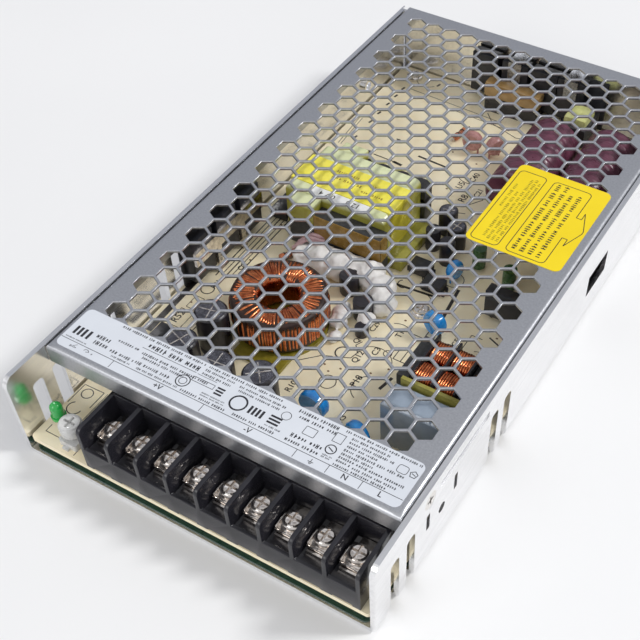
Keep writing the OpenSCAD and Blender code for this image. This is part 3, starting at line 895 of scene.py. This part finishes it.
label_marks = drawn(
    strokes=[(0.16, (x, -87), (x, -89.6)) for x in (-35.7, -5.9, 22.9, 32.5, 42.1)] + [
        (0.16, (-54, -87), (53.2, -87)), (0.16, (-44.4, -88.5), (-43.6, -88.1)),
        (0.14, (-32.2, -79.3), (-14.2, -79.3)), (0.12, (-13.6, -79.4), (-7.4, -79.4)),
        (0.3, (29.2, -82.4), (31, -83.2)), (0.2, (51.2, -79), (52.4, -79.4)),
    ],
    rings=[
        (-44.4, -88.5, 0.95, 0.16, 10, 170, 20), (-15.6, -83.3, 2.1, 0.3, 0, 360, 28),
        (-15.6, -83.3, 1.2, 0.2), (1.5, -82.2, 2.6, 0.5), (14.6, -79.5, 1.4, 0.16),
        (30.1, -82.8, 1.55, 0.3), (51.8, -79.2, 1.2, 0.2, 0, 360, 5),
    ],
    boxes=[
        ((-13.9, -82), (-7, -80.4), 0.16), ((20.9, -82.2), (24.4, -79.4), 0.16, 0.3),
        ((28.7, -80.4), (31.5, -77.3), 0.16), ((47.2, -80.4), (50.2, -77.8), 0.16, 0.8),
    ],
    # the earth sign and the lamp's sign, then plain heavy bars in three places
    bars=[
        (27.8, -88.1, 0, 0.16, 1), (27.8, -88.6, 0, 1.6, 0.18), (27.8, -88.95, 0, 1, 0.16),
        (27.8, -89.25, 0, 0.45, 0.14), (-48.4, -87.9, 40, 1.3, 0.14),
    ]
    + [(x, -82.4, 0, 0.7, 2.6) for x in (5.4, 6.6, 7.8, 9.0)]
    + [(x, -83.2, 0, 0.8, 3.0) for x in (-52, -50.6, -49.2, -47.6)]
    + [(-5, y, 0, 2.4, 0.55) for y in (-80.6, -81.6, -82.6)]
    + [(12.8, y, 0, 3.4, 0.6) for y in (-81.2, -82.3, -83.4)],
)
for text, x in (("+V", -20.1), ("-V", 8.6), ("N", 37.5), ("L", 47.6)):
    label_marks.append(word(text, x, -88.35, 1.65, bold=0.03))
label_marks.append(word("+", -42.4, -88.4, 0.8, bold=0.01))
# rows of small print: start, end, place across the label, row height
for x0, x1, y, height in (
    (-49.8, -47.2, -88.6, 0.7),
    (-41.6, -13.8, -75.9, 0.95), (-31.2, -14.4, -77.9, 1.75), (-39.4, -32.8, -80.6, 1),
    (-31, -8.6, -81, 1), (-30, -16.4, -82.3, 0.95), (-39.2, -31.6, -84.6, 1.15),
    (-30.6, -19.4, -84.4, 1.1), (-37.6, -31.4, -86, 0.7), (-29, -15.6, -86, 0.8),
    (-14.4, -0.6, -86.1, 0.95), (-8.9, -1.6, -84.1, 0.5), (-8.9, -1.6, -84.9, 0.5),
    (-12.4, 10.6, -75.9, 0.9), (-12.6, -3.4, -77.2, 0.85), (-12.8, -3.4, -78.6, 0.85),
    (-1.4, 12.6, -77.4, 0.8), (-1, 11.8, -78.7, 0.8), (2.2, 15.4, -85.9, 0.95),
    (11.2, 15.6, -84.6, 0.6), (18.8, 27.6, -83.8, 1.35), (18.2, 28.2, -85.7, 1.2),
    (16.4, 28, -76.3, 1.15), (17.6, 28.6, -78, 1.15), (29, 31.6, -85, 0.5),
    (29, 31.4, -85.7, 0.5), (30.4, 52.4, -75.9, 0.85), (33, 44.2, -77.3, 0.85),
    (33, 45.8, -78.6, 0.85), (33, 42.4, -79.9, 0.85), (33, 50.2, -81.2, 0.9),
    (33, 42, -82.5, 0.85), (33, 52, -83.7, 0.9), (33, 36.6, -84.9, 0.8),
    (37.6, 50.2, -85.1, 0.85), (32.8, 48.4, -86.3, 0.85), (-53.2, -46.4, -86.2, 0.55),
    (-45.6, -40.8, -82.2, 1.5), (-45, -40.4, -84.3, 1.5),
):
    label_marks += row_of_print((x0, y), (x1, y), height)
printed(label_marks, "rating_print", label_z, label_black, "white_label")

# ---------- selector label
# A bright yellow label over the selector, with two ruled boxes of small print. The right hand box
# opens into an arrow that points at the selector's wall.
label_yellow = finish("label_yellow", (0.83, 0.62, 0.004), (0.88, 0.67, 0.006), 0.012, (0.3, 0.42))
sticker((21.7, 3.8), (52.6, 44), 2.2, "selector_sheet", label_yellow, "yellow_label", "selector_label")
gap_low = 18.1
gap_high = 28.4
yellow_marks = drawn(
    strokes=[(
        0.24, (47.2, gap_high), (48.9, gap_high), (48.9, 31.4), (51.6, 23.6), (51.6, 22.4), (48.9, 14.9),
        (48.9, gap_low), (47.2, gap_low),
    )],
    boxes=[((22.9, 4.9), (32.2, 41), 0.24, 1.6), ((34.5, 4.9), (47.3, 41), 0.24, 1.6)],
)
open_box = yellow_marks[-1]
for y in (gap_low, gap_high):
    cut(open_box, (0, y * mm, 0), (0, 1, 0))
drop_faces(open_box, lambda face: (
    face.center.x > 46.5 * mm and gap_low * mm < face.center.y < gap_high * mm
))
for x, first, last in ((36.6, 6.6, 39.4), (39.2, 6.6, 40), (41.8, 6.6, 36.4), (44.4, 6.6, 38)):
    yellow_marks += row_of_print((x, first), (x, last), 1.55, turn=90)
printed(yellow_marks, "selector_print", label_z, label_black, "yellow_label")
# the left hand box's print is paler and finer
pale_marks = []
for x, first, last in (
    (24.8, 22, 33.6), (26.6, 7.4, 31), (28.2, 6.8, 38.6), (29.6, 6.8, 38.4), (31, 6.8, 37),
):
    pale_marks += row_of_print((x, first), (x, last), 1.1, turn=90)
olive_ink = finish("olive_ink", (0.3, 0.24, 0.01), (0.42, 0.34, 0.02), 0.0006, (0.35, 0.5))
printed(pale_marks, "selector_fine_print", label_z, olive_ink, "yellow_label")

# ---------- transformer
# A ferrite core through a wound bobbin, wrapped in cream tape that darkens to olive down the sides as
# painted shade, with a yellow band over the top, also darker down its sides as painted shade, and brown tape
# round the front yoke.
ferrite = finish("ferrite", (0.02, 0.02, 0.022), (0.05, 0.05, 0.052), 0.0008, (0.4, 0.6), bump=0.00001)
yokes = []
for y in (-3, 25.5):
    yokes.append(block((-37, y, 7.7), (-3, y + 5, 18.3), 0.4))
    yokes.append(block((-27.2, y, 16.3), (-3, y + 5, 22.3), 0.4))
finished(yokes, "stepped_yokes", ferrite, "ferrite", "transformer_core")
brown_tape = finish("brown_tape", (0.24, 0.14, 0.03), (0.36, 0.22, 0.06), 0.003, (0.2, 0.32), bump=0.00003)
finished([
    block((-27.2, -3.3, 13.5), (-2.7, -3.02, 22.3), 0.08), block((-2.98, -3.3, 13.5), (-2.7, 1, 22.3), 0.08),
], "core_tape", brown_tape, "yellow_tape")


def tape_with_painted_shade(name, top, side, height):
    """Tape whose colour changes with height: painted light on the top and painted shade, a darker colour,
    down the sides.
    """
    material = finish(name, side[0], side[1], 0.004, (0.16, 0.3), bump=0.00003)
    tree = material.node_tree
    lit_top_look = mottled(tree, top[0], top[1], 0.005, (0.2, 0.35))
    place = tree.nodes["Texture Coordinate"]
    axes = add_node(tree, "SeparateXYZ")
    level = add_node(tree, "MapRange", ("From Min", height - 1.6 * mm), ("From Max", height - 0.3 * mm))
    light_and_shade_blend = add_node(tree, "Mix")
    light_and_shade_blend.data_type = "RGBA"
    link_up(
        tree,
        (place, "Object", axes, 0),
        (place, "Object", lit_top_look, "Vector"),
        (axes, "Z", level, "Value"),
        (level, "Result", light_and_shade_blend, "Factor"),
        (tree.nodes["look"], "Color", light_and_shade_blend, "A"),
        (lit_top_look, "Color", light_and_shade_blend, "B"),
        (light_and_shade_blend, "Result", tree.nodes["Principled BSDF"], "Base Color"),
    )
    return material


bobbin_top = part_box("transformer_bobbin")[1].z
band_thick = 0.3 * mm
# Each tape takes its lit colour on top and a darker colour below: painted light and painted shade.
cream_tape = tape_with_painted_shade(
    "cream_tape", ((0.7, 0.74, 0.42), (0.8, 0.84, 0.54)), ((0.3, 0.28, 0.04), (0.46, 0.43, 0.09)),
    bobbin_top,
)
former = [eased_copy("transformer_bobbin", 0.4 * mm)]
for y in (-3.4, 25.3):
    former.append(block((-36, y, 18.3), (-27.2, y + 5.6, 25.2), 0.5))
former.append(block((-7.5, 3, board_top), (1.2, 24.5, 10.5), 0.4))
finished(former, "wound_bobbin", cream_tape, "cream_tape", "transformer_bobbin")
yellow_tape = tape_with_painted_shade(
    "yellow_tape", ((0.9, 0.8, 0.06), (0.95, 0.86, 0.14)), ((0.5, 0.42, 0.03), (0.62, 0.54, 0.05)),
    bobbin_top + band_thick,
)
band = block((-41.3, 6, 10.8), (-4.2, 19, 25.9), 0.02)


def long_top_edge(edge):
    a, b = (band.data.vertices[i].co for i in edge.vertices)
    return min(a.z, b.z) > 25.8 * mm and abs(a.y - b.y) > 10 * mm


pick(band, "EDGE", long_top_edge)
bpy.ops.mesh.bevel(offset=2.2 * mm, segments=6, affect="EDGES")
done()
finished([band], "yellow_band", yellow_tape, "yellow_tape", "transformer_tape")
tape_marks = []
for x0, x1, y, height in (
    (-30, -22, 15.6, 1.2), (-30, -19, 12.4, 1.4), (-17, -8, 14.4, 1.2), (-18, -10, 10.6, 1.2),
):
    tape_marks += row_of_print((x0, y), (x1, y - 0.6), height)
tape_brown = finish("tape_brown", (0.3, 0.2, 0.02), (0.42, 0.3, 0.04), 0.0006, (0.3, 0.45))
printed(tape_marks, "tape_print", bobbin_top + band_thick + ink_lift, tape_brown, "yellow_tape")

# A strip of white paper under the clear tape carries the winding's number.
paper_z = bobbin_top + 0.02 * mm
paper_thick = 0.08 * mm
paper = thin_sheet((-32, 2.1), (-11, 5.9), paper_z, 0.4, 3, paper_thick, "paper_strip")
paper.data.materials.append(
    finish("paper_white", (0.8, 0.81, 0.82), (0.88, 0.88, 0.88), 0.003, (0.4, 0.6), bump=0.00001)
)
fit(paper, "cream_tape")
printed(
    [word("0 7 4", -26.4, 4, 2.0, turn=180, bold=0.02), word("12 8", -17, 4, 2.0, turn=180, bold=0.02)],
    "paper_print", paper_z + paper_thick + ink_lift, black_ink, "cream_tape",
)

# ---------- chokes
# Enamelled copper wound by hand round a dark ring, the turns lying close and a little uneven, and
# the smaller mains choke wound in flanged sections on two legs.
copper = finish(
    "enamelled_copper", (0.38, 0.085, 0.028), (0.78, 0.26, 0.1), 0.0022, (0.16, 0.3), metal=1, coat=0.3
)
copper_shade = finish("copper_shade", (0.02, 0.009, 0.007), (0.05, 0.02, 0.012), 0.0012, (0.4, 0.55))


def wire_turn(wide, tall, corner, wire):
    """One closed turn of wire in X and Z with round corners, bent from a rectangle."""
    turn = started(bpy.ops.mesh.primitive_plane_add, size=mm, rotation=(math.radians(90), 0, 0))
    turn.scale = (wide, tall, 1)
    hold_place(turn)
    edit()
    bpy.ops.mesh.bevel(offset=corner * mm, segments=4, affect="VERTICES")
    bpy.ops.mesh.select_all(action="SELECT")
    bpy.ops.mesh.delete(type="ONLY_FACE")
    done()
    bpy.ops.object.convert(target="CURVE")
    turn.data.bevel_depth = wire * mm
    turn.data.bevel_resolution = 1
    turn.data.fill_mode = "FULL"
    bpy.ops.object.convert(target="MESH")
    smooth(turn, 60)
    return turn


winding_low, winding_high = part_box("output_choke_winding")
choke_x = (winding_low.x + winding_high.x) / 2 / mm
choke_y = (winding_low.y + winding_high.y) / 2 / mm
choke_z = (winding_low.z + winding_high.z) / 2 / mm
outer = (winding_high.x - winding_low.x) / 2 / mm
inner = 5.8
wire = 0.4
turn_count = 88
turn_corner = 2.6
splice = (228, 262)
turn_tall = (winding_high.z - winding_low.z) / mm - 2 * wire
single_turn = wire_turn(outer - inner - 2 * wire, turn_tall, turn_corner, wire)
single_turn.data.transform(Matrix.Translation(((outer + inner) / 2 * mm, 0, 0)))
uneven = random.Random(3)
turns = []
# the turns lie further apart at the splice
for k in range(turn_count):
    angle = k * 360 / turn_count
    if splice[0] < angle < splice[1] and k % 3:
        continue
    turns.append(stamp(
        single_turn, choke_x, choke_y, angle + uneven.uniform(-1.6, 1.6), 1 - uneven.uniform(0, 0.025), 1.0,
        choke_z, 1 - uneven.uniform(0, 0.05),
    ))
bpy.data.objects.remove(single_turn)
ring_winding = join(turns, "ring_winding")
ring_winding.data.materials.append(copper)
fit(ring_winding, "enamelled_copper", "output_choke_winding")
ring_fill = copy_of("output_choke_winding")
shrink = ring_fill.modifiers.new("shrink", "DISPLACE")
shrink.strength = -0.55 * mm
shrink.mid_level = 0
apply_modifiers(ring_fill)
finished([ring_fill], "ring_winding_fill", copper_shade, "enamelled_copper")

# four short coils of eight turns, two on each leg
leg_turn = wire_turn(7.5, 13.7, 2, 0.36)
leg_turn.data.transform(Matrix.Rotation(math.radians(90), 4, "Z"))
coils = [(x, y) for x in (32.4, 39.2) for y in (-42, -33)]
first_turn = 0.42
turn_pitch = 0.74
leg_z = 15.4
leg_turns = []
for x, y in coils:
    for k in range(8):
        leg_turns.append(stamp(
            leg_turn, x + first_turn + turn_pitch * k, y, uneven.uniform(-1.5, 1.5), 1.0,
            1 - uneven.uniform(0, 0.03), leg_z, 1 - uneven.uniform(0, 0.02),
        ))
bpy.data.objects.remove(leg_turn)
leg_winding = join(leg_turns, "leg_winding")
leg_winding.data.materials.append(copper)
fit(leg_winding, "enamelled_copper", "filter_choke_winding")
fills = [block((x, y - 3.6, leg_z - 6.7), (x + 6, y + 3.6, leg_z + 6.7), 1.6) for x, y in coils]
finished(fills, "leg_winding_fill", copper_shade, "enamelled_copper")

dress(ferrite, "output_choke_core")
small_yokes = [block((x, -45.9, 7.5), (x + 3.9, -29.1, 21), 0.4) for x in (27.5, 46.1)]
finished(small_yokes, "filter_choke_yokes", ferrite, "ferrite", "filter_choke_core")
finished(
    [block((x, -46.5, board_top), (x + 0.8, -28.5, 23.4), 0.25) for x in (31.6, 38.4, 45.2)],
    "filter_choke_flanges", black_moulding, "black_moulding",
)
dress(finish("olive_card", (0.22, 0.18, 0.015), (0.32, 0.26, 0.03), 0.002, (0.3, 0.5)), "output_choke_base")
olive_board = finish("olive_board", (0.3, 0.27, 0.05), (0.4, 0.36, 0.09), 0.002, (0.35, 0.5))
detailed("filter_divider", "olive_board", olive_board, 0.1 * mm)

# ---------- capacitors
# Aluminium cans in shrunk plastic sleeves. The two large ones lie on the board in creased maroon
# sleeves, and the upright ones show their bare tops with a pressed vent.


def creased(name, dark, light, crease):
    """A glossy shrunk sleeve with creases that run round the can."""
    material = finish(name, dark, light, 0.004, (0.26, 0.4))
    tree = material.node_tree
    squeeze = add_node(tree, "Mapping", ("Scale", (90, 320, 90)))
    waves = add_node(tree, "TexNoise", ("Scale", 1.0), ("Detail", 2.0))
    relief = add_node(tree, "Bump", ("Distance", crease))
    link_up(
        tree,
        (tree.nodes["Texture Coordinate"], "Object", squeeze, "Vector"),
        (squeeze, "Vector", waves, "Vector"),
        (waves, "Fac", relief, "Height"),
        (relief, "Normal", tree.nodes["Principled BSDF"], "Normal"),
    )
    return material


maroon_sleeve = creased("maroon_sleeve", (0.11, 0.03, 0.055), (0.16, 0.05, 0.085), 1.2 * mm)
detailed("bulk_capacitors", "maroon_sleeve", maroon_sleeve, 0.3 * mm)
black_sleeve = creased("black_sleeve", (0.012, 0.011, 0.015), (0.03, 0.027, 0.034), 0.5 * mm)
detailed("output_capacitors", "can_sleeve", black_sleeve, 0.2 * mm)
small_cans = [
    rod((x, y, board_top), (x, y, top), radius, 0.35, 24)
    for x, y, radius, top in (
        (4.6, 28, 3.15, 15.5), (10.6, 22.4, 3.15, 15.5), (11.4, 14.6, 2.5, 15.5), (4.2, 18.5, 2.5, 14.5),
        (4.4, -26.4, 2.2, 10), (-8.6, -12.4, 3.15, 13.5), (0.8, -19.6, 3.15, 13.5),
    )
]
finished(small_cans, "small_cans", black_sleeve, "black_sleeve", "small_capacitors")
# The can tops are painted dark as painted shade, and their vent crosses take the bright tinned finish as a
# painted highlight.
shaded_can_top = finish(
    "shaded_can_top", (0.1, 0.1, 0.12), (0.2, 0.2, 0.23), 0.0012, (0.18, 0.3), metal=0.8, bump=0.00001
)


def vented_top(x, y, z, radius, turn):
    """The bare top of a can: a dished disc, and the raised cross of its vent."""
    top = started(bpy.ops.mesh.primitive_circle_add, vertices=28, radius=radius * mm, fill_type="NGON")
    edit()
    bpy.ops.mesh.inset(thickness=0.3 * mm, depth=0.06 * mm)
    bpy.ops.mesh.inset(thickness=0.25 * mm, depth=-0.05 * mm)
    done()
    ribs = [stamp(ink, 0, 0, angle, 2 * radius - 1.0, 0.42, 0.04) for angle in (0, 90)]
    for rib in ribs:
        alone(rib)
        edit()
        bpy.ops.mesh.inset(thickness=0.12 * mm, depth=0.08 * mm)
        done()
    cross = join(ribs, "vent_cross")
    for shape in (top, cross):
        shape.data.transform(place_at(x, y, turn, z + 0.02))
    return top, cross


vented = [
    vented_top(x, y, z, radius, turn)
    for x, y, z, radius, turn in (
        (-30.8, -52.4, 21.6, 4.3, 12), (-5, -65, 21.6, 4.3, 40), (-31.5, -66, 21.6, 4.3, 70),
        (-17.5, -68, 21.6, 4.3, 95), (4.6, 28, 15.5, 2.5, 20), (10.6, 22.4, 15.5, 2.5, 80),
    )
]
# dark tops of painted shade, and bright crosses of painted highlight on the same metal
finished([top for top, cross in vented], "can_tops", shaded_can_top, "can_sleeve", angle=30)
finished([cross for top, cross in vented], "vent_crosses", tinned, "can_sleeve", angle=30)

blue_lacquer = finish("blue_lacquer", (0.008, 0.22, 0.64), (0.02, 0.32, 0.8), 0.002, (0.08, 0.16), coat=0.8)
dress(blue_lacquer, "y_capacitors")
# The grey moulding is tinted blue: a painted reflection of the pale sky on its glossy top.
grey_moulding = finish(
    "grey_moulding", (0.26, 0.32, 0.4), (0.34, 0.41, 0.5), 0.006, (0.05, 0.12), coat=0.8
)
detailed("x_capacitor", "grey_moulding", grey_moulding, 0.2 * mm)
tan_lacquer = finish("tan_lacquer", (0.3, 0.18, 0.065), (0.42, 0.27, 0.11), 0.003, (0.14, 0.26), coat=0.4)
finished(
    [block((-16.5, 93.8, 12.6), (5.5, 99.4, 18.4), 1.1)], "film_capacitor_body", tan_lacquer, "tan_lacquer",
    "film_capacitor",
)
# The black block under the tan body is painted shade: the capacitor's lower front, which lies in deep shade,
# drawn as a black stand.
finished(
    [block((-15.9, 94.2, board_top), (4.9, 99.1, 12.6), 0.3)], "film_capacitor_shade_block", black_moulding,
    "black_moulding",
)

# ---------- power devices and small parts
# Black moulded devices against the case walls on dark rubber pads, held by bright clips, and the
# small parts among them.
for node in ("output_rectifiers", "power_switches", "bridge_rectifier", "optocouplers"):
    detailed(node, "device_plastic", device_black, 0.2 * mm)
clip_steel = finish("clip_steel", (0.2, 0.21, 0.23), (0.34, 0.35, 0.38), 0.0012, (0.2, 0.34), metal=1.0)
dress(clip_steel, "switch_clips")
dress(tinned, "rectifier_clamp")
rubber = finish("dark_rubber", (0.02, 0.022, 0.03), (0.04, 0.042, 0.05), 0.002, (0.5, 0.7))
finished(
    [eased_copy("thermal_pads", 0.1 * mm), block((15, 104.35, board_top), (26.5, 105.15, 24.8), 0.1)],
    "rubber_pads", rubber, "grey_rubber", "thermal_pads",
)
driver_tape = finish("driver_tape", (0.55, 0.56, 0.2), (0.72, 0.73, 0.34), 0.003, (0.16, 0.3))
coil = block((17.5, 87.5, board_top), (26, 97, 20), 1.2)
finished([coil], "driver_coil", driver_tape, "cream_tape", "driver_winding")
yoke = block((17.1, 85.5, 10.5), (26.9, 99, 17.5), 0.4)
finished([yoke], "driver_yoke", ferrite, "ferrite", "driver_core")
for name, dark, light, node in (
    ("red_lacquer", (0.4, 0.19, 0.18), (0.56, 0.29, 0.27), "thermistors"),
    ("green_lacquer", (0.03, 0.09, 0.03), (0.06, 0.14, 0.05), "green_resistors"),
    ("white_ceramic", (0.7, 0.68, 0.6), (0.8, 0.78, 0.7), "fuse"),
):
    dress(finish(name, dark, light, 0.002, (0.2, 0.35)), node)

# ---------- silicone
# White silicone and sleeving run over the wires in front of the transformer, in soft uneven lumps.
silicone_white = finish(
    "silicone_white", (0.84, 0.82, 0.79), (0.93, 0.91, 0.89), 0.003, (0.3, 0.45), bump=0.0001
)
heap_back = -3.4 * mm
heap = []
for x, y, z, radius in (
    (-27, -8.8, 9.2, 4.8), (-20.5, -8.8, 10.6, 5.4), (-14.5, -8.4, 11.4, 5.2), (-9.6, -6.6, 10.6, 4.6),
    (-3.6, -7.4, 11.2, 5), (2, -10, 10.6, 4.8), (5, -14.6, 9.8, 4.4), (3.6, -22.6, 8.6, 2.8),
    (-4.4, -23.4, 9.4, 3.2), (-3.4, -27.6, 8.8, 2.6), (-1.4, -32.6, 7.6, 2.2),
):
    blob = started(
        bpy.ops.mesh.primitive_ico_sphere_add, subdivisions=4, radius=radius * mm,
        location=(x * mm, y * mm, z * mm),
    )
    hold_place(blob)
    for point, normal in (((0, 0, board_top * mm), (0, 0, 1)), ((0, heap_back, 0), (0, -1, 0))):
        cut(blob, point, normal, clear_inner=True, use_fill=True)
    heap.append(blob)
lumps = join(heap, "silicone_lumps")
even = lumps.modifiers.new("even", "REMESH")
even.mode = "VOXEL"
even.voxel_size = 0.55 * mm
folds = bpy.data.textures.new("silicone_folds", "CLOUDS")
folds.noise_scale = 3.2 * mm
push = lumps.modifiers.new("push", "DISPLACE")
push.texture = folds
push.texture_coords = "LOCAL"
push.strength = 2.6 * mm
push.mid_level = 0.55
soften = lumps.modifiers.new("soften", "SMOOTH")
soften.factor = 0.6
soften.iterations = 2
apply_modifiers(lumps)
finished([lumps], "silicone_lumps", silicone_white, "silicone", "adhesive", angle=60)

# Three thin pink sleeves lead the winding's wires over the silicone.
sleeves = []
for step in range(3):
    start = Vector((-32.4 + 0.3 * step, -8.4 + 1.3 * step, 10.6 + 0.4 * step))
    middle = Vector((-28.2 + 0.2 * step, -6.6 + 1.3 * step, 14.4 + 0.3 * step))
    end = Vector((-23.4 + 0.4 * step, -5.0 + 1.3 * step, 13.6 + 0.4 * step))
    sleeves.append(rod(start, middle, 0.62, 0.2, 10))
    sleeves.append(rod(middle, end, 0.62, 0.2, 10))
pink = finish("pink_sleeve", (0.52, 0.33, 0.35), (0.7, 0.48, 0.5), 0.002, (0.25, 0.4))
finished(sleeves, "pink_sleeves", pink, "silicone")

# ---------- clean up
bpy.data.objects.remove(ink)
